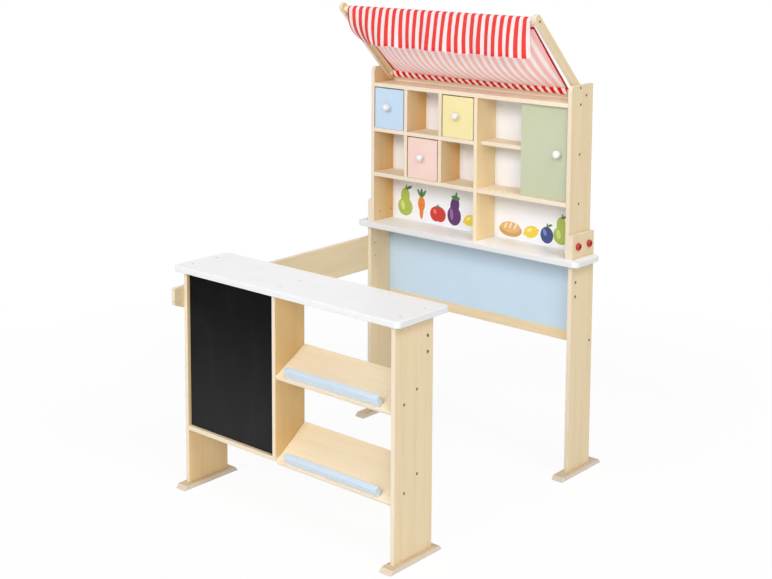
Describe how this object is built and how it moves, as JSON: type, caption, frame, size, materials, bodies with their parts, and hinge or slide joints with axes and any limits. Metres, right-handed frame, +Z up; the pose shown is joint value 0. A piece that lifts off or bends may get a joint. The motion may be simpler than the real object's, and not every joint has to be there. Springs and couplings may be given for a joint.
{
  "type": "toy market stall",
  "caption": "Wooden toy market stall with a striped cloth awning, cubbies with drawers and a sliding door, a chalkboard front and sloped display shelves.",
  "frame": {"origin": "on the floor, under the middle of the whole stall", "axes": "+Z up, +X to the stall's right as seen from the front counter's chalkboard side, +Y from the front counter to the back unit"},
  "size_m": [0.794, 0.924, 1.2878],
  "materials": {
    "wood_upright": "clear satin varnish, upright grain",
    "wood_level": "clear satin varnish, level grain",
    "wood_foot": "clear satin varnish",
    "wood_display": "clear satin varnish, level grain",
    "wood_arm": "clear satin varnish, grain along the arm",
    "wood_rod": "sanded dowel",
    "wood_rail": "clear satin varnish, level grain",
    "wood_drawer": "bare plywood",
    "white_paint": "white satin paint",
    "printed_panel": null,
    "blue_panel": "pale blue satin paint",
    "blue_bar": "pale blue satin paint",
    "blue_paint": "pale blue satin paint",
    "yellow_paint": "pale yellow satin paint",
    "pink_paint": "pale pink satin paint",
    "sage_paint": "sage green satin paint",
    "chalk_black": "matt chalkboard paint",
    "striped_cloth": "woven cotton with red and white stripes",
    "red_cup": "red plastic",
    "steel": "zinc plated",
    "white_knob": "white gloss paint"
  },
  "bodies": {
    "stall": {"back_leg_left": "wood_upright", "back_leg_right": "wood_upright", "back_foot_left": "wood_foot", "back_foot_right": "wood_foot", "back_counter": "white_paint", "apron_panel": "blue_panel", "apron_rail": "wood_level", "upper_side_left": "wood_upright", "upper_side_right": "wood_upright", "top_board": "wood_level", "main_divider": "wood_upright", "row_shelf": "wood_level", "partition_left": "wood_upright", "partition_right": "wood_upright", "lower_shelf_left": "wood_level", "lower_shelf_right": "wood_level", "mid_shelf": "wood_level", "back_panel": "printed_panel", "awning_arm_left": "wood_arm", "awning_arm_right": "wood_arm", "awning_front_rod": "wood_rod", "awning_rear_rod": "wood_rod", "awning_cloth": "striped_cloth", "clamp_washers": "red_cup", "clamp_bolts": "steel", "sleeve_nuts": "steel", "wood_screws": "steel", "front_leg_left": "wood_upright", "front_leg_right": "wood_upright", "front_foot_left": "wood_foot", "front_foot_right": "wood_foot", "front_counter": "white_paint", "front_divider": "wood_upright", "chalkboard": "chalk_black", "chalkboard_ledge": "wood_level", "display_shelf_upper": "wood_display", "display_shelf_lower": "wood_display", "stop_bar_upper": "blue_bar", "stop_bar_lower": "blue_bar", "connecting_rail": "wood_rail", "rail_bolts": "steel"},
    "door": {"sliding_door": "sage_paint", "door_knob": "white_knob"},
    "drawer_blue": {"drawer_blue_front": "blue_paint", "drawer_blue_sides": "wood_drawer", "drawer_blue_back": "wood_drawer", "drawer_blue_floor": "wood_drawer", "drawer_blue_knob": "white_knob"},
    "drawer_yellow": {"drawer_yellow_front": "yellow_paint", "drawer_yellow_sides": "wood_drawer", "drawer_yellow_back": "wood_drawer", "drawer_yellow_floor": "wood_drawer", "drawer_yellow_knob": "white_knob"},
    "drawer_pink": {"drawer_pink_front": "pink_paint", "drawer_pink_sides": "wood_drawer", "drawer_pink_back": "wood_drawer", "drawer_pink_floor": "wood_drawer", "drawer_pink_knob": "white_knob"}
  },
  "joints": [
    {"name": "door_slide", "type": "slide", "parent": "stall", "child": "door", "axis": [-1, 0, 0], "range_m": [0, 0.141]},
    {"name": "drawer_blue_slide", "type": "slide", "parent": "stall", "child": "drawer_blue", "axis": [0, -1, 0], "range_m": [0, 0.065]},
    {"name": "drawer_yellow_slide", "type": "slide", "parent": "stall", "child": "drawer_yellow", "axis": [0, -1, 0], "range_m": [0, 0.065]},
    {"name": "drawer_pink_slide", "type": "slide", "parent": "stall", "child": "drawer_pink", "axis": [0, -1, 0], "range_m": [0, 0.065]}
  ]
}
